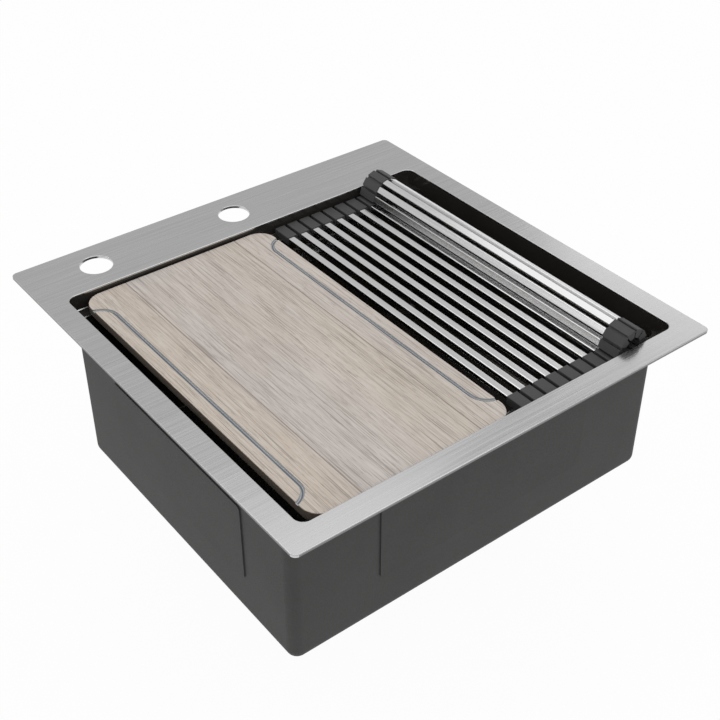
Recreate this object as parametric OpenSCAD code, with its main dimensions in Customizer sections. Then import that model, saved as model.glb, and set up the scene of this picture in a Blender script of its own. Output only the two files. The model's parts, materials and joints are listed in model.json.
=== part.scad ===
// Workstation kitchen sink with a cutting board and a roll-up draining rack.
// Millimetres, +Z up. The origin is the middle of the rim on the worktop plane.
// The rim lies above z = 0 and the bowl hangs below it. +Y is the tap side.
// The front edge of the rim faces -Y.

/* [Rim] */
// Width of the rim, left to right
rim_w = 500; // [490:5:600]
// Depth of the rim, front to back
rim_d = 510; // [490:5:560]
// Thickness of the rim plate
rim_t = 3; // [2:0.5:4]
// Outer corner radius of the rim
rim_r = 6; // [3:1:12]
// Width of the rim beside the opening
side_land = 25; // [20:1:30]
// Width of the rim in front of the opening
front_land = 26; // [20:1:32]
// Width of the tap deck behind the opening
back_land = 76; // [70:1:90]
// Diameter of the two tap holes
tap_d = 35; // [32:0.5:37]
// Distance of the tap holes from the back edge
tap_back = 37.5; // [33:0.5:42]

/* [Bowl] */
// Depth of the bowl below the worktop
depth = 187; // [165:1:230]
// Drop of the front and back ledges below the worktop
ledge_drop = 16; // [15:0.5:22]
// Width of the back ledge
back_ledge = 15; // [12:0.5:20]
// Width of the front ledge
front_ledge = 18; // [12:0.5:20]
// Thickness of the bowl steel
wall_t = 1; // [0.8:0.1:1.5]
// Thickness of the sprayed coat outside
coat_t = 0.5; // [0.4:0.1:1.2]
// Inner radius of the upright corners and the floor edge
corner_r = 10; // [8:1:14]
// Thickness of the sound pads
pad_t = 1.5; // [1:0.25:2.5]

/* [Board] */
// Width of the opening kept for the rack, beside the board
rack_room = 225; // [205:1:260]
// Thickness of the cutting board
board_t = 13; // [11:0.5:15]
// Corner radius of the cutting board
board_r = 20; // [14:1:28]
// Width of the two juice grooves
groove_w = 4; // [2:0.5:5]
// Depth of the two juice grooves
groove_h = 2; // [1:0.5:3]

/* [Rack] */
// Spacing of the bars where the rack lies flat
flat_pitch = 16.5; // [16:0.1:17]
// Width of a bar in the flat part
bar_w = 7.7; // [6:0.1:8]
// Thickness of a bar in the flat part
bar_t = 5; // [4:0.25:6]
// Length of an end block along the bar
block_l = 25; // [22:0.5:32]

/* [Drain] */
// Inner radius of the strainer cup
cup_r = 40; // [38:0.5:41]
// Outer radius of the outlet pipe
outlet_r = 20; // [19:0.5:20]
// Length of the outlet pipe
outlet_l = 60; // [50:1:90]

/* [Hidden] */
$fn = 64;
steel = "silver";
dark_steel = "#26241f";
coat = "#4c4b4a";
wood = "#c3bcb4";
silicone = "#4f4f4f";
plastic = "#d8d8d4";
rubber = "#2b2b2b";

// Opening and bowl in plan: middle lines across the sink, front and back edges
open_w = rim_w - 2 * side_land;
open_d = rim_d - front_land - back_land;
mid_y = (front_land - back_land) / 2;
bowl_d = open_d - back_ledge - front_ledge;
bowl_y = mid_y + (front_ledge - back_ledge) / 2;
front_y = mid_y - open_d / 2;
back_y = mid_y + open_d / 2;

// Sheet with its coat, rebate under the rim, where the coat starts, underside of ledges and floor
skin = wall_t + coat_t;
rebate_h = 1;
weld_gap = 0.2;
coat_top = -6;
ledge_under = -ledge_drop - wall_t;
floor_z = -(depth - skin);

// Tap holes: one in the middle, one to the left
tap_y = rim_d / 2 - tap_back;
tap_x = 2.5;
side_tap_x = -170;

// Drain: recess in the floor, hole in the recess, stack of parts below it
recess_r = 60;
recess_h = 3;
drain_hole_r = cup_r + 4;
recess_z = floor_z - recess_h;
under_z = recess_z - wall_t;
seat_t = 1;
flange_t = 2;
flange_r = 57;
cup_wall = 1.5;
cup_h = 40;
cup_top = recess_z + seat_t + flange_t;
cup_floor = cup_top - cup_h;
ring_t = 2;
body_top = under_z - ring_t;
body_r = drain_hole_r + 0.5;
body_wall = 2.5;
body_floor = cup_floor - cup_wall - 9.5;
body_end = body_floor - 3;
spout_r = 23.5;
spout_end = body_end - 23;
collar_r = outlet_r + 0.8;
collar_h = 10;
port_z = cup_floor + 8;
port_out = 75;
tube_r = 8;
tube_bore = 6;

// Overflow in the back wall and its pipe
over_x = 60;
over_z = -46.5;
over_w = 90;
slot_w = 70;
slot_h = 12;
over_h = 23;
wall_y = bowl_y + bowl_d / 2;
steel_y = wall_y + wall_t;
seal_y = steel_y + 2;
tube_y = seal_y + 13;
screw_gap = 40;
pipe_r = 10.5;
pipe_bore = 8.2;
pipe_bend = 40;
pipe_dx = over_x;
pipe_dy = tube_y - bowl_y;
pipe_turn = atan2(pipe_dy, pipe_dx);
pipe_reach = sqrt(pipe_dx * pipe_dx + pipe_dy * pipe_dy);

// Sound pads
pad_top = -46;
pad_h = 90;
pad_r = 5;
side_pad_l = 226;
front_pad_l = 257;

// Across the opening: the rack's width, the board's width, and the free width shared out beside them
block_w = 13;
roll_out = 14.7;
rack_w = 8 * flat_pitch + block_w + roll_out;
free_w = rack_room - rack_w;
board_w = open_w - rack_room;
board_x = -open_w / 2 + free_w * 158 / 653;
rack_x = board_x + board_w + free_w * 137 / 653;

// Cutting board, standing on the ledges near the left wall
board_l = open_d - 4.4;
board_z = -ledge_drop;
board_round = 4.5;
groove_in = 15.5;
groove_r = 20;
groove_end = 45;

// Rack: nine flat links, then seven links that form the roll
block_h = 9;
block_wall = 0.8;
block_gap = 3;
hinge_up = 1.5;
web_up = 0.2;
web_t = 0.9;
web_end = 0.2;
bar_in = 4;
roll_pitch = 12;
roll_bar_w = 7.4;
roll_bar_t = 3.8;
roll_turn = [32, 46, 42, 36, 43, 36, 16];
roll_x0 = rack_x + 8 * flat_pitch + (block_w + flat_pitch) / 2;
rack_z = -ledge_drop + hinge_up;
block_front = front_y + block_gap;
block_back = back_y - block_gap;

function roll_angle(i) = i == 0 ? roll_turn[0] : roll_angle(i - 1) + roll_turn[i];
function roll_x(i) = i == 0 ? roll_x0 : roll_x(i - 1) + roll_pitch * cos(roll_angle(i - 1));
function roll_z(i) = i == 0 ? rack_z : roll_z(i - 1) + roll_pitch * sin(roll_angle(i - 1));

// Rounded rectangle in plan, centred
module rounded(w, d, r) {
  square([w - 2 * r, d], center = true);
  square([w, d - 2 * r], center = true);
  for (sx = [-1, 1])
    for (sy = [-1, 1])
      translate([sx * (w / 2 - r), sy * (d / 2 - r)])
        circle(r = r);
}

// Flat plate with rounded corners, standing on z = 0
module slab(w, d, r, h) {
  linear_extrude(height = h)
    rounded(w, d, r);
}

// Block with round upright corners and a round lower edge, top at z = 0
module basin(w, d, h, r) {
  translate([0, 0, -(h - r)])
    slab(w, d, r, h - r);
  translate([-(w / 2 - r), -(d / 2 - r), -h])
    cube([w - 2 * r, d - 2 * r, h]);
  for (s = [-1, 1])
    translate([-(w / 2 - r), s * (d / 2 - r), -(h - r)])
      rotate([0, 90, 0])
        cylinder(r = r, h = w - 2 * r);
  for (s = [-1, 1])
    translate([s * (w / 2 - r), d / 2 - r, -(h - r)])
      rotate([90, 0, 0])
        cylinder(r = r, h = d - 2 * r);
  for (sx = [-1, 1])
    for (sy = [-1, 1])
      translate([sx * (w / 2 - r), sy * (d / 2 - r), -(h - r)])
        sphere(r = r);
}

// Upright round hole or post of radius r from z0 to z1
module post(r, z0, z1) {
  translate([0, 0, z0])
    cylinder(r = r, h = z1 - z0);
}

// Outside of the bowl grown by g: collar, ledge and lower bowl
module bowl_form(g) {
  translate([0, mid_y, -ledge_drop - g])
    slab(open_w + 2 * g, open_d + 2 * g, corner_r + g, ledge_drop + g);
  translate([0, bowl_y, -ledge_drop])
    basin(open_w + 2 * g, bowl_d + 2 * g, -floor_z - ledge_drop + g, corner_r + g);
  translate([0, bowl_y, 0])
    post(recess_r + g, recess_z - g, floor_z);
}

// Slot and two screw holes of the overflow, through the back wall
module overflow_cut(w, h, hole_r, y0, y1) {
  translate([over_x, y1, over_z])
    rotate([90, 0, 0])
      slab(w, h, 3, y1 - y0);
  for (s = [-1, 1])
    translate([over_x + s * screw_gap, y1, over_z])
      rotate([90, 0, 0])
        cylinder(r = hole_r, h = y1 - y0);
}

// Rim plate with the opening, the two tap holes and a rebate below for the upper wall
module deck_plate() {
  color(steel)
    difference() {
      slab(rim_w, rim_d, rim_r, rim_t);
      translate([0, mid_y, -1])
        slab(open_w, open_d, corner_r, rim_t + 2);
      translate([0, mid_y, -1])
        slab(open_w + 2 * wall_t, open_d + 2 * wall_t, corner_r + wall_t, 1 + rebate_h);
      translate([tap_x, tap_y, 0])
        post(tap_d / 2, -1, rim_t + 1);
      translate([side_tap_x, tap_y, 0])
        post(tap_d / 2, -1, rim_t + 1);
    }
}

// One straight strip of the wall band
module wall_strip(x, y, w, d) {
  translate([x, y, ledge_under])
    cube([w, d, rebate_h - ledge_under]);
}

// One round corner of the wall band, just short of the strips beside it
module wall_corner(x, y, turn) {
  translate([x, y, 0])
    rotate([0, 0, turn])
      intersection() {
        difference() {
          post(corner_r + wall_t, ledge_under, rebate_h);
          post(corner_r, ledge_under - 1, rebate_h + 1);
        }
        translate([weld_gap, weld_gap, ledge_under - 1])
          cube([corner_r + 2, corner_r + 2, rebate_h - ledge_under + 2]);
      }
}

// Band of wall from the rim down to the ledges: four straight strips and four round corners
module upper_wall() {
  color(dark_steel) {
    for (x = [-open_w / 2 - wall_t, open_w / 2])
      wall_strip(x, front_y + corner_r, wall_t, open_d - 2 * corner_r);
    for (y = [front_y - wall_t, back_y])
      wall_strip(corner_r - open_w / 2, y, open_w - 2 * corner_r, wall_t);
    wall_corner(open_w / 2 - corner_r, back_y - corner_r, 0);
    wall_corner(corner_r - open_w / 2, back_y - corner_r, 90);
    wall_corner(corner_r - open_w / 2, front_y + corner_r, 180);
    wall_corner(open_w / 2 - corner_r, front_y + corner_r, 270);
  }
}

// Sheet at ledge height between two distances from the front of the opening
module ledge_sheet(y0, y1) {
  intersection() {
    translate([0, mid_y, ledge_under])
      slab(open_w, open_d, corner_r, wall_t);
    translate([-open_w / 2, y0, ledge_under - 1])
      cube([open_w, y1 - y0, wall_t + 2]);
  }
}

// Front and back ledge that carry the board and the rack
module ledges() {
  color(dark_steel) {
    ledge_sheet(front_y, bowl_y - bowl_d / 2);
    ledge_sheet(bowl_y + bowl_d / 2, back_y);
  }
}

// Deep basin below the ledges, with the drain recess and the overflow slot
module bowl_shell() {
  color(dark_steel)
    difference() {
      union() {
        translate([0, bowl_y, ledge_under])
          basin(open_w + 2 * wall_t, bowl_d + 2 * wall_t, -floor_z - ledge_drop, corner_r + wall_t);
        ledge_sheet(bowl_y - bowl_d / 2, bowl_y + bowl_d / 2);
        translate([0, bowl_y, 0])
          post(recess_r + wall_t, recess_z - wall_t, floor_z);
      }
      translate([0, bowl_y, -ledge_drop + 1])
        basin(open_w, bowl_d, -floor_z - ledge_drop + 1, corner_r);
      translate([0, bowl_y, 0])
        post(recess_r, recess_z, floor_z + 1);
      translate([0, bowl_y, 0])
        post(drain_hole_r, recess_z - 5, recess_z + 1);
      overflow_cut(slot_w, slot_h, 2.5, wall_y - 2, wall_y + 5);
    }
}

// Sprayed coat on the outside of the bowl, left open round the drain and the overflow
module undercoating() {
  color(coat)
    difference() {
      bowl_form(skin);
      bowl_form(wall_t);
      translate([0, mid_y, coat_top])
        slab(rim_w, rim_d, rim_r, 1 - coat_top);
      translate([0, bowl_y, 0])
        post(56, recess_z - 10, recess_z + 1);
      translate([over_x, wall_y + 5, over_z])
        rotate([90, 0, 0])
          slab(over_w + 6, over_h + 6, 3, 6);
    }
}

// Sound pad on a side wall, side -1 is left
module side_pad(side) {
  translate([side * (open_w / 2 + skin + pad_t / 2), mid_y, pad_top - pad_h / 2])
    rotate([90, 0, 90])
      translate([0, 0, -pad_t / 2])
        slab(side_pad_l, pad_h, pad_r, pad_t);
}

module sound_pad_left() {
  color(coat)
    side_pad(-1);
}

module sound_pad_right() {
  color(coat)
    side_pad(1);
}

module sound_pad_front() {
  color(coat)
    translate([0, bowl_y - bowl_d / 2 - skin, pad_top - pad_h / 2])
      rotate([90, 0, 0])
        slab(front_pad_l, pad_h, pad_r, pad_t);
}

// The back pad sits lower, clear of the overflow
module sound_pad_back() {
  color(coat)
    translate([0, wall_y + skin + pad_t, pad_top - 24 - pad_h / 2])
      rotate([90, 0, 0])
        slab(front_pad_l, pad_h - 20, pad_r, pad_t);
}

module sound_pad_floor() {
  color(coat)
    difference() {
      translate([0, bowl_y, -depth - pad_t])
        slab(320, 250, pad_r, pad_t);
      translate([0, bowl_y, 0])
        post(recess_r + 8, -depth - 5, -depth + 1);
    }
}

// Cover of the overflow inside the bowl, with two slots beside a middle bridge
module overflow_cover() {
  color(steel)
    difference() {
      translate([over_x, wall_y, over_z])
        rotate([90, 0, 0])
          slab(over_w, over_h, 3, 2);
      for (s = [-1, 1])
        translate([over_x + s * 18, wall_y + 1, over_z])
          rotate([90, 0, 0])
            slab(30, 9, 3, 4);
      for (s = [-1, 1])
        translate([over_x + s * screw_gap, wall_y + 1, over_z])
          rotate([90, 0, 0])
            cylinder(r = 2.2, h = 4);
    }
}

module overflow_gasket() {
  color(rubber)
    difference() {
      translate([over_x, seal_y, over_z])
        rotate([90, 0, 0])
          slab(over_w, over_h, 3, 2);
      overflow_cut(slot_w + 2, slot_h + 3, 2.5, steel_y - 1, seal_y + 1);
    }
}

// Plastic box behind the wall with a spout for the pipe
module overflow_housing() {
  color(plastic)
    difference() {
      union() {
        translate([over_x, seal_y + 24, over_z])
          rotate([90, 0, 0])
            slab(over_w, over_h, 3, 24);
        translate([over_x, tube_y, 0])
          post(tube_r, over_z - over_h / 2 - 22, over_z);
      }
      translate([over_x, seal_y + 21, over_z])
        rotate([90, 0, 0])
          slab(slot_w, slot_h + 5, 3, 22);
      translate([over_x, tube_y, 0])
        post(tube_bore, over_z - over_h / 2 - 23, over_z);
      for (s = [-1, 1])
        translate([over_x + s * screw_gap, seal_y + 12, over_z])
          rotate([90, 0, 0])
            cylinder(r = 2, h = 13);
    }
}

// Two screws that clamp cover, wall, gasket and housing together
module overflow_screws() {
  color(steel)
    for (s = [-1, 1])
      translate([over_x + s * screw_gap, 0, over_z]) {
        translate([0, wall_y - 2, 0])
          rotate([90, 0, 0])
            cylinder(r = 4, h = 1.5);
        translate([0, seal_y + 10, 0])
          rotate([90, 0, 0])
            cylinder(r = 1.9, h = seal_y + 10 - wall_y + 2.5);
      }
}

// Overflow pipe: down behind the bowl, round one bend, level to the waste body
module pipe_solid(r, end_in, end_up) {
  translate([0, bowl_y, port_z])
    rotate([0, 0, pipe_turn]) {
      translate([end_in, 0, 0])
        rotate([0, 90, 0])
          cylinder(r = r, h = pipe_reach - pipe_bend - end_in);
      translate([pipe_reach - pipe_bend, 0, pipe_bend])
        rotate([90, 0, 0])
          rotate([0, 0, -90])
            rotate_extrude(angle = 90)
              translate([pipe_bend, 0])
                circle(r = r);
      translate([pipe_reach, 0, pipe_bend])
        cylinder(r = r, h = end_up - port_z - pipe_bend);
    }
}

module overflow_pipe() {
  color(rubber)
    difference() {
      pipe_solid(pipe_r, 58, over_z - over_h / 2 - 4);
      pipe_solid(pipe_bore, 57, over_z - over_h / 2 - 3);
    }
}

// Ring clip on each end of the overflow pipe
module pipe_clips() {
  color(steel) {
    translate([over_x, tube_y, 0])
      difference() {
        post(pipe_r + 1.2, over_z - over_h / 2 - 16, over_z - over_h / 2 - 9);
        post(pipe_r, over_z - over_h / 2 - 17, over_z - over_h / 2 - 8);
      }
    translate([0, bowl_y, port_z])
      rotate([0, 0, pipe_turn])
        translate([63, 0, 0])
          rotate([0, 90, 0])
            difference() {
              post(pipe_r + 1.2, 0, 7);
              post(pipe_r, -1, 8);
            }
  }
}

// Strainer cup with a flange in the floor recess and holes in its floor
module strainer_cup() {
  color(steel)
    translate([0, bowl_y, 0])
      difference() {
        union() {
          post(flange_r, cup_top - flange_t, cup_top);
          post(cup_r + cup_wall, cup_floor - cup_wall, cup_top);
        }
        post(cup_r, cup_floor, cup_top + 1);
        post(3.2, cup_floor - 5, cup_floor + 1);
        for (a = [0 : 45 : 315])
          rotate([0, 0, a])
            translate([26, 0, 0])
              post(4.5, cup_floor - 5, cup_floor + 1);
      }
}

// Flat ring about the drain axis
module ring(r0, r1, z0, z1) {
  translate([0, bowl_y, 0])
    difference() {
      post(r1, z0, z1);
      post(r0, z0 - 1, z1 + 1);
    }
}

module flange_seal() {
  color(rubber)
    ring(drain_hole_r, flange_r - 1, recess_z, recess_z + seat_t);
}

module body_seal() {
  color(rubber)
    ring(drain_hole_r, 54, under_z - ring_t, under_z);
}

// Waste body: flange under the floor, cup, cross for the screw, spout and side port
module waste_body() {
  color(plastic)
    translate([0, bowl_y, 0])
      difference() {
        union() {
          difference() {
            union() {
              post(55, body_top - 4, body_top);
              post(body_r + body_wall, body_end, body_top);
            }
            post(body_r, body_floor, body_top + 1);
          }
          post(spout_r, spout_end, body_end + 1);
          post(6, body_end, cup_floor - cup_wall);
          for (a = [0, 90])
            rotate([0, 0, a])
              translate([-body_r - 1, -1.5, body_floor - 1])
                cube([2 * body_r + 2, 3, 9]);
          rotate([0, 0, pipe_turn])
            translate([body_r + 1, 0, port_z])
              rotate([0, 90, 0])
                cylinder(r = tube_r, h = port_out - body_r - 1);
        }
        difference() {
          post(17, spout_end - 1, body_floor + 0.5);
          post(6, body_end, body_floor + 1);
          for (a = [0, 90])
            rotate([0, 0, a])
              translate([-20, -1.5, body_floor - 1])
                cube([40, 3, 2]);
        }
        post(2.6, body_end - 1, cup_floor);
        rotate([0, 0, pipe_turn])
          translate([body_r - 1, 0, port_z])
            rotate([0, 90, 0])
              cylinder(r = tube_bore, h = port_out);
      }
}

// Screw that pulls the waste body up to the cup
module centre_screw() {
  color(steel)
    translate([0, bowl_y, 0]) {
      post(6, cup_floor, cup_floor + 3);
      post(2.5, body_end + 1, cup_floor + 1);
    }
}

module coupling_washer() {
  color(rubber)
    ring(collar_r + 0.1, spout_r - 0.2, spout_end - 4, spout_end);
}

// Coupling nut with six grip ribs
module coupling_nut() {
  color(plastic)
    translate([0, bowl_y, 0])
      difference() {
        union() {
          post(spout_r + 4, spout_end - 8, spout_end + 14);
          for (a = [0 : 60 : 300])
            rotate([0, 0, a])
              translate([spout_r + 3, -2.5, spout_end - 8])
                cube([4, 5, 22]);
        }
        post(spout_r + 0.2, spout_end - 4, spout_end + 15);
        post(collar_r + 0.4, spout_end - 9, spout_end);
      }
}

module outlet_pipe() {
  color(plastic)
    translate([0, bowl_y, 0])
      difference() {
        union() {
          post(collar_r, spout_end - collar_h, spout_end);
          post(outlet_r, spout_end - outlet_l, spout_end - 1);
        }
        post(outlet_r - 2, spout_end - outlet_l - 1, spout_end + 1);
      }
}

// Basket that sits on the flange of the cup
module basket() {
  color(steel)
    translate([0, bowl_y, 0])
      difference() {
        union() {
          post(cup_r + 4, cup_top, cup_top + 1);
          post(cup_r - 1.8, cup_floor + 4, cup_top + 1);
        }
        post(cup_r - 2.8, cup_floor + 5, cup_top + 2);
        for (a = [0 : 30 : 330])
          rotate([0, 0, a])
            translate([33.5, 0, 0])
              post(2, cup_floor + 3, cup_floor + 6);
        for (a = [0 : 60 : 300])
          rotate([0, 0, a])
            translate([8.5, 0, 0])
              post(1.6, cup_floor + 3, cup_floor + 6);
      }
}

// Lifting post and knob of the basket
module basket_knob() {
  color(steel)
    translate([0, bowl_y, 0]) {
      post(4, cup_floor + 5, cup_floor + 30);
      post(10, cup_floor + 30, cup_floor + 35);
    }
}

module basket_seal() {
  color(rubber)
    ring(12, 30, cup_floor, cup_floor + 4);
}

// Half of the board section: edge at x = 0, round below, flat top
module board_edge(w) {
  translate([board_round, 0])
    square([w - board_round, board_t]);
  translate([0, board_round])
    square([board_round + 1, board_t - board_round]);
  translate([board_round, board_round])
    circle(r = board_round);
}

// Board outline with a round lower edge, one corner at the origin
module board_body() {
  translate([0, board_l - board_r, 0])
    rotate([90, 0, 0])
      linear_extrude(height = board_l - 2 * board_r) {
        board_edge(board_w / 2);
        translate([board_w, 0])
          mirror([1, 0])
            board_edge(board_w / 2);
      }
  translate([board_r, 0, 0])
    rotate([90, 0, 90])
      linear_extrude(height = board_w - 2 * board_r) {
        board_edge(board_l / 2);
        translate([board_l, 0])
          mirror([1, 0])
            board_edge(board_l / 2);
      }
  for (x = [board_r, board_w - board_r])
    for (y = [board_r, board_l - board_r])
      translate([x, y, 0]) {
        post(board_r, board_round, board_t);
        post(board_r - board_round, 0, board_t);
        rotate_extrude()
          translate([board_r - board_round, board_round])
            circle(r = board_round);
      }
}

// One juice groove near the edge at x = 0, its ends bent out through that edge
module groove() {
  translate([groove_in - groove_w / 2, groove_end, 0])
    cube([groove_w, board_l - 2 * groove_end, groove_h + 1]);
  for (s = [-1, 1])
    translate([groove_in - groove_r, board_l / 2 + s * (board_l / 2 - groove_end), 0])
      intersection() {
        difference() {
          post(groove_r + groove_w / 2, 0, groove_h + 1);
          post(groove_r - groove_w / 2, -1, groove_h + 2);
        }
        translate([0, s > 0 ? 0 : -groove_r - groove_w, 0])
          cube([groove_r + groove_w, groove_r + groove_w, groove_h + 1]);
      }
}

module cutting_board() {
  color(wood)
    translate([board_x, mid_y - board_l / 2, board_z])
      difference() {
        board_body();
        translate([0, 0, board_t - groove_h])
          groove();
        translate([board_w, 0, board_t - groove_h])
          mirror([1, 0, 0])
            groove();
      }
}

// Section of a bar, s along the rack and t up from the hinge line
module flat_bar_section() {
  translate([block_wall + bar_w / 2, block_h - hinge_up - block_wall - bar_t / 2])
    rounded(bar_w, bar_t, 1);
}

module roll_bar_section() {
  translate([roll_pitch / 2, roll_bar_t / 2 + 0.7 - hinge_up])
    rounded(roll_bar_w, roll_bar_t, 0.8);
}

// Section of an end block in the flat part, with a thin web towards each neighbour
module flat_block_section(k) {
  translate([0, -hinge_up])
    square([block_w, block_h - 1]);
  translate([1, -hinge_up])
    square([block_w - 2, block_h]);
  for (x = [1, block_w - 1])
    translate([x, block_h - hinge_up - 1])
      circle(r = 1);
  web_from = k == 1 ? 1 : web_end - (flat_pitch - block_w) / 2;
  web_to = (flat_pitch + block_w) / 2 - web_end;
  translate([web_from, web_up - web_t])
    square([web_to - web_from, web_t]);
}

// Section of an end block in the roll, narrower towards the inside of the roll
module roll_block_section(k) {
  polygon([[1.6, -hinge_up], [10.4, -hinge_up], [10.4, 0.5], [10, 3.7], [8.3, 7.5],
    [3.7, 7.5], [2, 3.7], [1.6, 0.5]]);
  web_to = k == 16 ? 10 : roll_pitch - web_end;
  translate([web_end, web_up - web_t])
    square([web_to - web_end, web_t]);
}

// Push a section along the bars from y0 to y1
module along(y0, y1) {
  translate([0, y1, 0])
    rotate([90, 0, 0])
      linear_extrude(height = y1 - y0)
        children();
}

// Place of link k, counted from 1 at the board side
module link_place(k) {
  if (k < 10)
    translate([rack_x + (k - 1) * flat_pitch, 0, rack_z])
      children();
  else
    translate([roll_x(k - 10), 0, roll_z(k - 10)])
      rotate([0, -roll_angle(k - 10), 0])
        children();
}

module bar_section(k) {
  if (k < 10)
    flat_bar_section();
  else
    roll_bar_section();
}

module rack_bar(k) {
  color(steel)
    link_place(k)
      along(block_front + bar_in, block_back - bar_in)
        bar_section(k);
}

// Front and back silicone blocks of one link, with the pocket for the bar
module rack_ends(k) {
  color(silicone)
    link_place(k)
      difference() {
        for (y = [block_front, block_back - block_l])
          along(y, y + block_l)
            if (k < 10)
              flat_block_section(k);
            else
              roll_block_section(k);
        along(block_front + bar_in, block_back - bar_in)
          bar_section(k);
      }
}

module rack_bar_01() {
  rack_bar(1);
}

module rack_bar_02() {
  rack_bar(2);
}

module rack_bar_03() {
  rack_bar(3);
}

module rack_bar_04() {
  rack_bar(4);
}

module rack_bar_05() {
  rack_bar(5);
}

module rack_bar_06() {
  rack_bar(6);
}

module rack_bar_07() {
  rack_bar(7);
}

module rack_bar_08() {
  rack_bar(8);
}

module rack_bar_09() {
  rack_bar(9);
}

module rack_bar_10() {
  rack_bar(10);
}

module rack_bar_11() {
  rack_bar(11);
}

module rack_bar_12() {
  rack_bar(12);
}

module rack_bar_13() {
  rack_bar(13);
}

module rack_bar_14() {
  rack_bar(14);
}

module rack_bar_15() {
  rack_bar(15);
}

module rack_bar_16() {
  rack_bar(16);
}

module rack_ends_01() {
  rack_ends(1);
}

module rack_ends_02() {
  rack_ends(2);
}

module rack_ends_03() {
  rack_ends(3);
}

module rack_ends_04() {
  rack_ends(4);
}

module rack_ends_05() {
  rack_ends(5);
}

module rack_ends_06() {
  rack_ends(6);
}

module rack_ends_07() {
  rack_ends(7);
}

module rack_ends_08() {
  rack_ends(8);
}

module rack_ends_09() {
  rack_ends(9);
}

module rack_ends_10() {
  rack_ends(10);
}

module rack_ends_11() {
  rack_ends(11);
}

module rack_ends_12() {
  rack_ends(12);
}

module rack_ends_13() {
  rack_ends(13);
}

module rack_ends_14() {
  rack_ends(14);
}

module rack_ends_15() {
  rack_ends(15);
}

module rack_ends_16() {
  rack_ends(16);
}

deck_plate();
upper_wall();
ledges();
bowl_shell();
undercoating();
sound_pad_left();
sound_pad_right();
sound_pad_front();
sound_pad_back();
sound_pad_floor();
overflow_cover();
overflow_gasket();
overflow_housing();
overflow_screws();
overflow_pipe();
pipe_clips();
strainer_cup();
flange_seal();
body_seal();
waste_body();
centre_screw();
coupling_washer();
coupling_nut();
outlet_pipe();
basket();
basket_knob();
basket_seal();
cutting_board();
rack_bar_01();
rack_bar_02();
rack_bar_03();
rack_bar_04();
rack_bar_05();
rack_bar_06();
rack_bar_07();
rack_bar_08();
rack_bar_09();
rack_bar_10();
rack_bar_11();
rack_bar_12();
rack_bar_13();
rack_bar_14();
rack_bar_15();
rack_bar_16();
rack_ends_01();
rack_ends_02();
rack_ends_03();
rack_ends_04();
rack_ends_05();
rack_ends_06();
rack_ends_07();
rack_ends_08();
rack_ends_09();
rack_ends_10();
rack_ends_11();
rack_ends_12();
rack_ends_13();
rack_ends_14();
rack_ends_15();
rack_ends_16();
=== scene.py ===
import json
import math

import bmesh
import bpy
from mathutils import Matrix, Vector

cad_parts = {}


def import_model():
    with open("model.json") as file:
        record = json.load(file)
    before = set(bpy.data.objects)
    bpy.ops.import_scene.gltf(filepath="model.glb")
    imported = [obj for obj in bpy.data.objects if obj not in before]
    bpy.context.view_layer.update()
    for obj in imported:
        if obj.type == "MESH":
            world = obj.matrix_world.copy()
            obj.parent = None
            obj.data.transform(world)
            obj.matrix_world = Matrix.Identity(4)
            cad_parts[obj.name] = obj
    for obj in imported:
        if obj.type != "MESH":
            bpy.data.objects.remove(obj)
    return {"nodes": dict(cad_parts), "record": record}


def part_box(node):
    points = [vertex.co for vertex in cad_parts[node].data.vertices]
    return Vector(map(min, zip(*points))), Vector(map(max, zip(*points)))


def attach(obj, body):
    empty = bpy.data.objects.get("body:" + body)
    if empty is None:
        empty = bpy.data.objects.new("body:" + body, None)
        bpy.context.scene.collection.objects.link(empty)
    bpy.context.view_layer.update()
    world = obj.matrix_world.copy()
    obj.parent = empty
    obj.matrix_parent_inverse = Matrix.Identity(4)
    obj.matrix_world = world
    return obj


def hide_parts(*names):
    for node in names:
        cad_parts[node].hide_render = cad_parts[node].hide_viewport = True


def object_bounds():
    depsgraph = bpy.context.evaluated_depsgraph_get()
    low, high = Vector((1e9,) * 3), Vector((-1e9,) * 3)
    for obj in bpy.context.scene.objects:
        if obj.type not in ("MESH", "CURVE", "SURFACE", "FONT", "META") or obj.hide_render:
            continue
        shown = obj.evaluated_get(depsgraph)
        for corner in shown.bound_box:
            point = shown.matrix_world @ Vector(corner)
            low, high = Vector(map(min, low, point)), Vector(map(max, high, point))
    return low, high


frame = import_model()
cad_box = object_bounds()
nodes = frame["nodes"]


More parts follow.
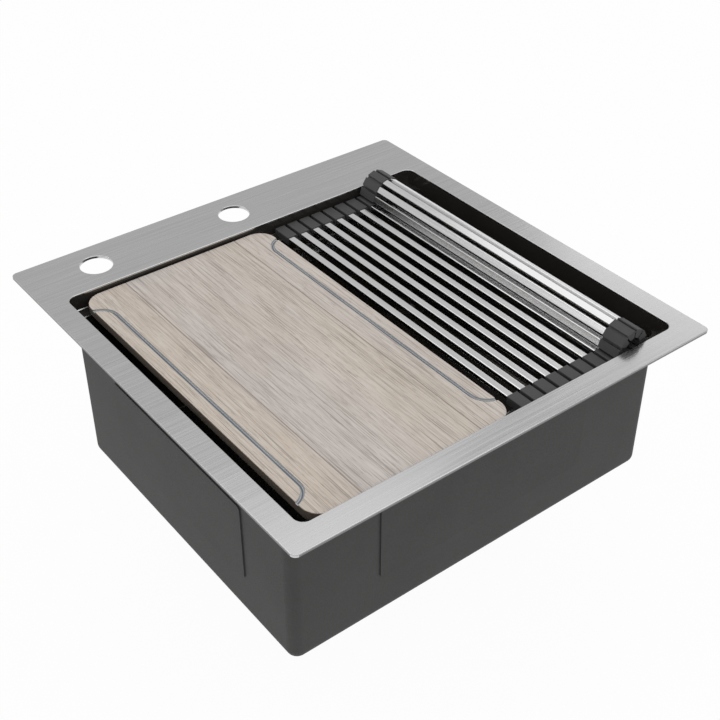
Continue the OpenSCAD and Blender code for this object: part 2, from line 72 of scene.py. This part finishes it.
# ---------------------------------------------------------------- materials
class Finish:
    """A material under construction: its node tree and short ways to add nodes."""

    def __init__(self, name):
        self.mat = bpy.data.materials.new(name)
        self.mat.use_nodes = True
        self.tree = self.mat.node_tree
        self.shader = self.tree.nodes["Principled BSDF"]

    def set(self, **values):
        for key, value in values.items():
            self.shader.inputs[key.replace("_", " ")].default_value = value
        return self

    def add(self, kind, **values):
        node = self.tree.nodes.new(kind)
        for key, value in values.items():
            setattr(node, key, value)
        return node

    def link(self, a, b):
        self.tree.links.new(a, b)

    def coords(self, scale=(1, 1, 1), move=(0, 0, 0)):
        tex = self.add("ShaderNodeTexCoord")
        place = self.add("ShaderNodeMapping")
        place.inputs["Scale"].default_value = scale
        place.inputs["Location"].default_value = move
        self.link(tex.outputs["Object"], place.inputs["Vector"])
        return place.outputs["Vector"]

    def noise(self, vector, scale, detail=2.0, rough=0.5):
        n = self.add("ShaderNodeTexNoise")
        n.inputs["Scale"].default_value = scale
        n.inputs["Detail"].default_value = detail
        n.inputs["Roughness"].default_value = rough
        self.link(vector, n.inputs["Vector"])
        return n.outputs["Fac"]

    def ramp(self, fac, stops):
        r = self.add("ShaderNodeValToRGB")
        els = r.color_ramp.elements
        while len(els) < len(stops):
            els.new(0.5)
        for el, (pos, col) in zip(els, stops):
            el.position = pos
            el.color = (*col, 1)
        self.link(fac, r.inputs["Fac"])
        return r.outputs["Color"]

    def span(self, fac, lo, hi, a=0.0, b=1.0):
        m = self.add("ShaderNodeMapRange")
        m.inputs["From Min"].default_value = a
        m.inputs["From Max"].default_value = b
        m.inputs["To Min"].default_value = lo
        m.inputs["To Max"].default_value = hi
        self.link(fac, m.inputs["Value"])
        return m.outputs["Result"]

    def blend(self, fac, a, b, mode="MIX"):
        m = self.add("ShaderNodeMix", data_type="RGBA", blend_type=mode)
        for sock, v in ((m.inputs["Factor"], fac), (m.inputs[6], a), (m.inputs[7], b)):
            if isinstance(v, (int, float)):
                sock.default_value = v
            elif isinstance(v, tuple):
                sock.default_value = (*v, 1)
            else:
                self.link(v, sock)
        return m.outputs[2]

    def bump(self, height, strength, distance):
        b = self.add("ShaderNodeBump")
        b.inputs["Strength"].default_value = strength
        b.inputs["Distance"].default_value = distance
        self.link(height, b.inputs["Height"])
        self.link(b.outputs["Normal"], self.shader.inputs["Normal"])
        return self

    def axis(self, name):
        """One coordinate of the point, in metres."""
        tex = self.add("ShaderNodeTexCoord")
        parts = self.add("ShaderNodeSeparateXYZ")
        self.link(tex.outputs["Object"], parts.inputs[0])
        return parts.outputs[name]

    def line(self, value, at, half):
        """1 where value is within half of at, else 0."""
        m = self.add("ShaderNodeMath", operation="COMPARE")
        m.inputs[1].default_value = at
        m.inputs[2].default_value = half
        self.link(value, m.inputs[0])
        return m.outputs[0]

    def colour(self, socket):
        self.link(socket, self.shader.inputs["Base Color"])
        return self

    def rough(self, socket):
        self.link(socket, self.shader.inputs["Roughness"])
        return self


def brushed(name, colour, rough, along, grain=0.05, depth=0.12):
    """Steel with fine hairlines along one axis."""
    f = Finish(name).set(Metallic=1.0)
    stretch = [1100.0, 1100.0, 1100.0]
    stretch["XYZ".index(along)] = 9.0
    fine = f.noise(f.coords(stretch), 1.0, 3.0, 0.6)
    wide = [260.0, 260.0, 260.0]
    wide["XYZ".index(along)] = 3.0
    broad = f.noise(f.coords(wide), 1.0, 2.0, 0.5)
    dark = tuple(c * (1 - grain) for c in colour)
    light = tuple(min(1, c * (1 + grain)) for c in colour)
    tone = f.ramp(fine, [(0.3, dark), (0.7, light)])
    tone = f.blend(f.span(broad, 0.0, 0.5), tone, light)
    f.colour(tone)
    f.rough(f.span(fine, rough - 0.05, rough + 0.07, 0.3, 0.7))
    return f.bump(fine, depth, 0.00005).mat


def shaded_bowl_finish():
    """Satin steel of the bowl with a faint haze from wiping; its colour is darkened to near black
    as painted shade of the deep interior.
    """
    f = Finish("bowl steel darkened as painted shade").set(Metallic=0.6)
    f.shader.inputs["Specular IOR Level"].default_value = 0.4
    wipe = f.noise(f.coords((500, 500, 12)), 1.0, 2.0)
    cloud = f.noise(f.coords(), 9.0, 3.0)
    # Painted shade: the bowl is the rim's steel, and these near black tones stand in for the dark
    # of its deep interior.
    dark, light = (0.060, 0.055, 0.050), (0.078, 0.072, 0.066)
    f.colour(f.ramp(cloud, [(0.3, dark), (0.7, light)]))
    f.rough(f.span(cloud, 0.14, 0.20, 0.3, 0.7))
    return f.bump(wipe, 0.05, 0.00003).mat


def sprayed(name, colour, grain=0.25):
    """Matt sprayed coat with a fine pebbled skin."""
    f = Finish(name).set(Roughness=0.62)
    f.shader.inputs["Specular IOR Level"].default_value = 0.35
    fine = f.noise(f.coords(), 900.0, 2.0, 0.6)
    cloud = f.noise(f.coords(), 14.0, 3.0)
    lo = tuple(c * 0.92 for c in colour)
    hi = tuple(c * 1.08 for c in colour)
    f.colour(f.ramp(cloud, [(0.3, lo), (0.7, hi)]))
    f.rough(f.span(fine, 0.55, 0.72, 0.3, 0.7))
    return f.bump(fine, grain, 0.00012).mat


def moulded(name, colour, rough=0.45, grain=0.15):
    """Moulded plastic or rubber with a faint texture."""
    f = Finish(name)
    fine = f.noise(f.coords(), 1500.0, 2.0, 0.5)
    cloud = f.noise(f.coords(), 40.0, 2.0)
    lo = tuple(c * 0.94 for c in colour)
    hi = tuple(min(1, c * 1.06) for c in colour)
    f.colour(f.ramp(cloud, [(0.3, lo), (0.7, hi)]))
    f.rough(f.span(fine, rough - 0.06, rough + 0.08, 0.3, 0.7))
    return f.bump(fine, grain, 0.00008).mat


def board_finish():
    """Pale oiled wood, grain along Y: planks with seams, arched grain, lines and pores; below the
    top face the sides are darkened as painted shade.
    """
    f = Finish("oiled board wood")
    f.shader.inputs["Specular IOR Level"].default_value = 0.3
    low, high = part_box("cutting_board")
    x = f.axis("X")
    base = f.ramp(f.span(x, 0.0, 1.0, low[0], high[0]), [
        (0.00, (0.600, 0.520, 0.440)), (0.20, (0.590, 0.505, 0.425)),
        (0.24, (0.560, 0.510, 0.480)), (0.42, (0.570, 0.520, 0.485)),
        (0.60, (0.600, 0.540, 0.480)), (0.80, (0.590, 0.520, 0.440)),
        (0.84, (0.580, 0.520, 0.465)), (1.00, (0.590, 0.535, 0.480))])
    cloud = f.noise(f.coords((22, 5, 22)), 1.0, 2.0)
    base = f.blend(f.span(cloud, 0.0, 0.5, 0.4, 0.7), base, (0.520, 0.475, 0.440))
    rings = f.add("ShaderNodeTexWave", wave_type="BANDS", bands_direction="X",
                  wave_profile="SAW")
    for key, value in (("Scale", 1.0), ("Distortion", 7.0), ("Detail", 2.0),
                       ("Detail Scale", 0.5)):
        rings.inputs[key].default_value = value
    f.link(f.coords((34, 3.2, 34)), rings.inputs["Vector"])
    knots = f.noise(f.coords((12, 4.5, 12), move=(0.4, 0.2, 0)), 1.0, 1.0)
    arch = f.span(knots, 0.0, 0.5, 0.5, 0.72)
    figure = f.blend(rings.outputs["Fac"], (0.60, 0.52, 0.43), (0.47, 0.40, 0.33))
    base = f.blend(arch, base, figure)
    fine = f.noise(f.coords((640, 22, 640)), 1.0, 2.0, 0.55)
    base = f.blend(f.span(fine, 0.45, 0.0, 0.36, 0.50), base, (0.680, 0.635, 0.585))
    base = f.blend(f.span(fine, 0.0, 0.42, 0.52, 0.66), base, (0.400, 0.350, 0.315))
    vein = f.noise(f.coords((1100, 12, 1100), move=(0.3, 0.1, 0)), 1.0, 1.0, 0.5)
    base = f.blend(f.span(vein, 0.0, 0.75, 0.60, 0.66), base, (0.300, 0.260, 0.230))
    pore = f.noise(f.coords((1500, 60, 1500)), 1.0, 1.0, 0.5)
    base = f.blend(f.span(pore, 0.0, 0.55, 0.62, 0.70), base, (0.260, 0.220, 0.190))
    for at in (low[0] + 0.0505, high[0] - 0.040):
        base = f.blend(f.line(x, at, 0.0006), base, (0.300, 0.255, 0.225))
    # Painted shade: below the top face the colour is multiplied darker, standing in for the shade
    # on the board's sides inside the bowl.
    face = f.span(f.axis("Z"), 0.0, 1.0, high[2] - 0.0012, high[2] - 0.0004)
    base = f.blend(face, f.blend(1.0, base, (0.30, 0.285, 0.265), "MULTIPLY"), base)
    f.colour(base)
    f.rough(f.span(fine, 0.46, 0.62, 0.3, 0.7))
    return f.bump(fine, 0.25, 0.00012).mat


def groove_finish(name, low, high):
    """Smooth grey sealer that lines the juice grooves; the darker copy along the groove bottom is
    painted shade.
    """
    f = Finish(name).set(Roughness=0.35)
    cloud = f.noise(f.coords((60, 20, 60)), 1.0, 2.0)
    f.colour(f.ramp(cloud, [(0.3, low), (0.7, high)]))
    return f.bump(f.noise(f.coords(), 400.0), 0.1, 0.0001).mat


finishes = {
    "rim_steel": brushed("rim steel", (0.58, 0.58, 0.58), 0.22, "X", 0.12),
    "bowl_steel": shaded_bowl_finish(),
    "coat": sprayed("sprayed coat", (0.056, 0.055, 0.054)),
    "pad": sprayed("sound pad", (0.052, 0.051, 0.050), 0.35),
    "bright_steel": brushed("strainer steel", (0.68, 0.68, 0.68), 0.22, "X", 0.03),
    "seal_rubber": moulded("black rubber", (0.02, 0.02, 0.02), 0.6),
    "pipe": moulded("pipe plastic", (0.62, 0.62, 0.60), 0.4),
    "plastic": moulded("white plastic", (0.72, 0.72, 0.70), 0.4),
    "board_wood": board_finish(),
    "rack_steel": brushed("rack steel", (0.76, 0.76, 0.76), 0.16, "Y", 0.05),
    "rack_silicone": moulded("grey silicone", (0.052, 0.052, 0.052), 0.58, 0.25),
}
for part in frame["record"]["subparts"]:
    node = nodes[part["node"]]
    node.data.materials.clear()
    node.data.materials.append(finishes[part["material_slot"]])


# ---------------------------------------------------------------- eased edges
SAME_POINT = 1e-6       # points nearer to each other than this are one
IN_PLANE = 1e-5         # points nearer to a plane than this lie in it
FLAT_DEGREES = 0.05     # faces that meet at less than this are one flat
SHARP_DEGREES = 50      # edges sharper than this are eased
SMOOTH_DEGREES = 35     # and up to this the shading runs across them
RIM_WIDTH, RIM_DEPTH = 0.500, 0.510
RIM_TOP = 0.003
LEDGE_LEVEL = -0.016
FOLD_LENGTH = 0.430
# For each fold: Y, the way it faces, how far it stands proud, width of the flat.
FOLDS = ((0.179, -1, 0.0004, 0.0012), (0.164, -1, 0.0001, 0.0009),
         (-0.229, 1, 0.0004, 0.0012), (-0.211, 1, 0.0001, 0.0009))
ROLL_CENTRE = Vector((0.1713, 0, 0.0015))
BLOCK_LENGTH = 0.025    # of an end block, along the bars
# Width, then lower and upper height over the hinge line.
NOTCH = (0.0026, -0.0013, 0.0030)
WEB = (0.0028, -0.0019, -0.0013)
GROOVE_FLOOR_INSET = 0.0012
BOARD_CORNER = 0.020
BOARD_EASE = 0.0005


def flattened(mesh):
    """The mesh for editing, its double points joined and flat areas as single faces."""
    bm = bmesh.new()
    bm.from_mesh(mesh)
    bmesh.ops.remove_doubles(bm, verts=bm.verts, dist=SAME_POINT)
    bmesh.ops.dissolve_limit(bm, angle_limit=math.radians(FLAT_DEGREES), verts=bm.verts,
                             edges=bm.edges, use_dissolve_boundaries=False, delimit=set())
    return bm


def placed(bm, name, *materials):
    """The finished mesh as an object in the scene."""
    mesh = bpy.data.meshes.new(name)
    bm.to_mesh(mesh)
    bm.free()
    for mat in materials:
        mesh.materials.append(mat)
    obj = bpy.data.objects.new(name, mesh)
    bpy.context.collection.objects.link(obj)
    return obj


def merged(name, weld=0.0):
    """A copy of a CAD node's mesh; weld also joins parts that lie that near."""
    bm = flattened(nodes[name].data)
    if weld:
        bmesh.ops.remove_doubles(bm, verts=bm.verts, dist=weld)
        inner = [f for f in bm.faces if all(len(e.link_faces) > 2 for e in f.edges)]
        bmesh.ops.delete(bm, geom=inner, context="FACES_ONLY")
    return bm


def loose(bm, name):
    """A helper object that lives only until it has been combined."""
    return placed(bm, "loose_" + name)


def combined(operation, first, *others):
    """The mesh of the first helper with the others joined to it or cut from it."""
    for other in others:
        step = first.modifiers.new("step", "BOOLEAN")
        step.operation = operation
        step.solver = "EXACT"
        step.object = other
    bpy.context.view_layer.update()
    seen = first.evaluated_get(bpy.context.evaluated_depsgraph_get())
    bm = flattened(seen.to_mesh())
    for obj in (first, *others):
        mesh = obj.data
        bpy.data.objects.remove(obj)
        bpy.data.meshes.remove(mesh)
    return bm


def fused(*names):
    """Copies of touching sheets joined into one solid, as the pressed and welded bowl is."""
    return combined("UNION", *(loose(merged(name, 0.0003 if name == "upper_wall" else 0.0), name)
                               for name in names))


def sharp_edges(bm, keep):
    return [e for e in bm.edges if len(e.link_faces) == 2
            and math.degrees(e.calc_face_angle(0)) > SHARP_DEGREES and keep(e)]


def stand_for(bm, name, body, *stood):
    """Turns the finished mesh into a piece that stands for CAD nodes."""
    obj = placed(bm, name, *nodes[stood[0]].data.materials)
    mesh = obj.data
    mesh.polygons.foreach_set("use_smooth", [True] * len(mesh.polygons))
    mesh.set_sharp_from_angle(angle=math.radians(SMOOTH_DEGREES))
    even = obj.modifiers.new("even", "WEIGHTED_NORMAL")
    even.keep_sharp = True
    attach(obj, body)
    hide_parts(*stood)
    return obj


def bevelled(bm, width, segments, keep):
    """Rounds the chosen sharp edges; the new faces take the second material."""
    made = bmesh.ops.bevel(bm, geom=sharp_edges(bm, keep), offset=width, offset_type="OFFSET",
                           segments=segments, profile=0.5, affect="EDGES", clamp_overlap=False,
                           material=-1)
    for face in made["faces"]:
        face.material_index = 1
    return bm


def on_rim(e):
    """Upper edges of the rim plate: outside, round the opening and round the tap holes."""
    return all(v.co.z > RIM_TOP - 0.0001 for v in e.verts)


def ledge_folds():
    """Narrow polished flats on the four long folds of the two ledges."""
    bm = bmesh.new()
    for y, facing, proud, width in FOLDS:
        made = bmesh.ops.create_cube(bm, size=1)["verts"]
        bmesh.ops.scale(bm, verts=made, vec=(FOLD_LENGTH, width, 0.0006))
        bmesh.ops.translate(bm, verts=made, vec=(0, 0, -0.0003))
        bmesh.ops.rotate(bm, verts=made, cent=(0, 0, 0),
                         matrix=Matrix.Rotation(math.radians(-45 * facing), 3, "X"))
        bmesh.ops.translate(bm, verts=made, vec=(0, y + facing * proud, LEDGE_LEVEL + proud))
    long = [e for e in bm.edges if e.calc_length() > 0.4]
    bmesh.ops.bevel(bm, geom=long, offset=0.0001, offset_type="OFFSET", segments=2, profile=0.5,
                    affect="EDGES", clamp_overlap=True, material=-1)
    obj = placed(bm, "ledge_folds", finishes["rim_steel"])
    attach(obj, "sink")


def hinge_bars(joints, width, inner, outer, spans):
    """Flat bars along hinge lines of the roll; inner and outer are heights over the hinge,
    away from the roll's middle."""
    bm = bmesh.new()
    for joint in joints:
        hinge = Vector(joint["pos_m"])
        out = (hinge - ROLL_CENTRE).normalized()
        for start, end in spans:
            bar = bmesh.ops.create_cube(bm, size=1)["verts"]
            bmesh.ops.scale(bm, verts=bar, vec=(width, end - start, outer - inner))
            bmesh.ops.rotate(bm, verts=bar, cent=(0, 0, 0),
                             matrix=Matrix.Rotation(math.atan2(out.x, out.z), 3, "Y"))
            middle = hinge + out * (inner + outer) / 2
            bmesh.ops.translate(bm, verts=bar, vec=middle + Vector((0, (start + end) / 2, 0)))
    return bm


def end_blocks():
    """Silicone blocks of the roll, with a notch over each hinge line and a web below it.

    One web width serves all hinges. It reaches the blocks where the roll turns sharply, but not
    the last block, and it parts from the neighbour as the roll opens.
    """
    turns = [j for j in frame["record"]["behaviour"]["joints"]
             if j["name"].startswith("unroll_")]
    for joint in turns:
        name = "rack_ends_" + joint["name"][-2:]
        low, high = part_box(name)
        ends = [(low[1], low[1] + BLOCK_LENGTH), (high[1] - BLOCK_LENGTH, high[1])]
        notches = hinge_bars(turns, *NOTCH, [(-RIM_WIDTH / 2, RIM_WIDTH / 2)])
        block = combined("DIFFERENCE", loose(merged(name), name), loose(notches, "notches"))
        web = hinge_bars([joint], *WEB, ends)
        bm = combined("UNION", loose(block, name), loose(web, "web"))
        stand_for(bm, name.replace("rack_ends", "notched_ends"), joint["child"], name)


def board_piece():
    """The board with eased top edges, its grooves pale with a dark line along the bottom that is
    painted shade.
    """
    bm = merged("cutting_board")
    low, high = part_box("cutting_board")
    mid = [(low[i] + high[i]) / 2 for i in range(3)]
    half = [(high[i] - low[i]) / 2 for i in range(3)]
    for face in bm.faces:
        c = face.calc_center_median()
        dx = max(abs(c.x - mid[0]) - half[0] + BOARD_CORNER, 0)
        dy = max(abs(c.y - mid[1]) - half[1] + BOARD_CORNER, 0)
        inside = BOARD_CORNER - math.hypot(dx, dy) > 0.0008
        if inside and high[2] - 0.0021 < c.z < high[2] - 0.0002:
            face.material_index = 2
    floors = [f for f in bm.faces if f.material_index == 2 and f.normal.z > 0.9]
    bmesh.ops.inset_region(bm, faces=floors, thickness=GROOVE_FLOOR_INSET, depth=0,
                           use_even_offset=True)
    # The middle of each groove floor takes the dark finish: painted shade along the groove bottom.
    for face in floors:
        face.material_index = 1
    top = sharp_edges(bm, lambda e: min(v.co.z for v in e.verts) > high[2] - IN_PLANE)
    bmesh.ops.bevel(bm, geom=top, offset=BOARD_EASE, offset_type="OFFSET", segments=2, profile=0.5,
                    affect="EDGES", clamp_overlap=True, material=-1)
    board = stand_for(bm, "eased_board", "cutting_board", "cutting_board")
    for name, dark, light in (
            ("groove shade line", (0.10, 0.12, 0.15), (0.14, 0.16, 0.19)),
            ("groove shoulders", (0.40, 0.41, 0.42), (0.47, 0.48, 0.48))):
        board.data.materials.append(groove_finish(name, dark, light))


deck = stand_for(bevelled(merged("deck_plate"), 0.0008, 3, on_rim),
                 "eased_deck", "sink", "deck_plate")
deck.data.materials.append(finishes["rim_steel"])
# The outer sides of the rim plate get a rougher cut-edge steel; the roughness is real, its darker
# colour is painted shade on the sides.
deck.data.materials.append(brushed("cut edge in painted shade", (0.235, 0.235, 0.235), 0.42, "X", 0.12))
for side in deck.data.polygons:
    x, y = abs(side.center.x), abs(side.center.y)
    outer = x > RIM_WIDTH / 2 - 0.0001 or y > RIM_DEPTH / 2 - 0.0001
    if outer and abs(side.normal.z) < 0.2:
        side.material_index = 2
stand_for(fused("bowl_shell", "upper_wall", "ledges"), "eased_bowl", "sink",
          "bowl_shell", "upper_wall", "ledges")
ledge_folds()
end_blocks()
board_piece()


# ---------------------------------------------------------------- stage
def pale_floor():
    f = Finish("pale floor").set(Roughness=0.9)
    f.shader.inputs["Base Color"].default_value = (0.85, 0.85, 0.85, 1)
    f.shader.inputs["Specular IOR Level"].default_value = 0.0
    glow = f.add("ShaderNodeEmission")
    glow.inputs["Color"].default_value = (1, 1, 1, 1)
    path = f.add("ShaderNodeLightPath")
    both = f.add("ShaderNodeMath", operation="MAXIMUM")
    f.link(path.outputs["Is Camera Ray"], both.inputs[0])
    f.link(path.outputs["Is Glossy Ray"], both.inputs[1])
    seen = f.add("ShaderNodeMath", operation="MULTIPLY")
    seen.inputs[1].default_value = 0.96
    f.link(both.outputs[0], seen.inputs[0])
    mix = f.add("ShaderNodeMixShader")
    out = f.tree.nodes["Material Output"]
    f.link(seen.outputs[0], mix.inputs[0])
    f.link(f.shader.outputs[0], mix.inputs[1])
    f.link(glow.outputs[0], mix.inputs[2])
    f.link(mix.outputs[0], out.inputs["Surface"])
    return f.mat


def floor():
    bm = bmesh.new()
    bmesh.ops.create_grid(bm, x_segments=1, y_segments=1, size=6)
    low = cad_box[0][2]
    bmesh.ops.translate(bm, verts=bm.verts, vec=(0, 0, low - 0.0005))
    obj = placed(bm, "floor", pale_floor())


def world():
    w = bpy.data.worlds.new("studio")
    bpy.context.scene.world = w
    w.use_nodes = True
    tree = w.node_tree
    back = tree.nodes["Background"]
    back.inputs["Color"].default_value = (1, 1, 1, 1)
    back.inputs["Strength"].default_value = 0.60
    seen = tree.nodes.new("ShaderNodeBackground")
    seen.inputs["Color"].default_value = (1, 1, 1, 1)
    seen.inputs["Strength"].default_value = 1.0
    path = tree.nodes.new("ShaderNodeLightPath")
    mix = tree.nodes.new("ShaderNodeMixShader")
    tree.links.new(path.outputs["Is Camera Ray"], mix.inputs[0])
    tree.links.new(back.outputs[0], mix.inputs[1])
    tree.links.new(seen.outputs[0], mix.inputs[2])
    tree.links.new(mix.outputs[0], tree.nodes["World Output"].inputs["Surface"])


def lamp(name, place, target, size, power):
    data = bpy.data.lights.new(name, "AREA")
    data.shape = "RECTANGLE"
    data.size, data.size_y = size
    data.energy = power
    obj = bpy.data.objects.new(name, data)
    obj.location = place
    obj.rotation_euler = (Vector(target) - Vector(place)).to_track_quat("-Z", "Y").to_euler()
    bpy.context.collection.objects.link(obj)


def camera():
    data = bpy.data.cameras.new("camera")
    data.sensor_width = 36
    data.lens = 62.119
    data.clip_end = 50
    obj = bpy.data.objects.new("camera", data)
    turn, tilt = math.radians(37.762), math.radians(37.161)
    look = Vector((math.sin(turn) * math.cos(tilt), math.cos(turn) * math.cos(tilt),
                   -math.sin(tilt)))
    obj.location = (-0.62662, -0.82600, 0.71412)
    obj.rotation_euler = look.to_track_quat("-Z", "Y").to_euler()
    bpy.context.collection.objects.link(obj)
    bpy.context.scene.camera = obj


floor()
world()
lamp("front sky", (0.0, -0.68, 3.0), (0.0, -0.68, 0), (4.2, 6.25), 46)
lamp("right card", (4.43, 2.65, 2.75), (0, 0, 0), (1.6, 1.5), 5.0)
lamp("edge card", (1.96, -2.4, 2.52), (0, 0, 0), (1.4, 1.4), 6)
lamp("back left card", (-2.65, 1.80, 2.55), (0, 0, 0), (1.7, 1.7), 10)
camera()
bpy.context.scene.view_settings.view_transform = "Standard"
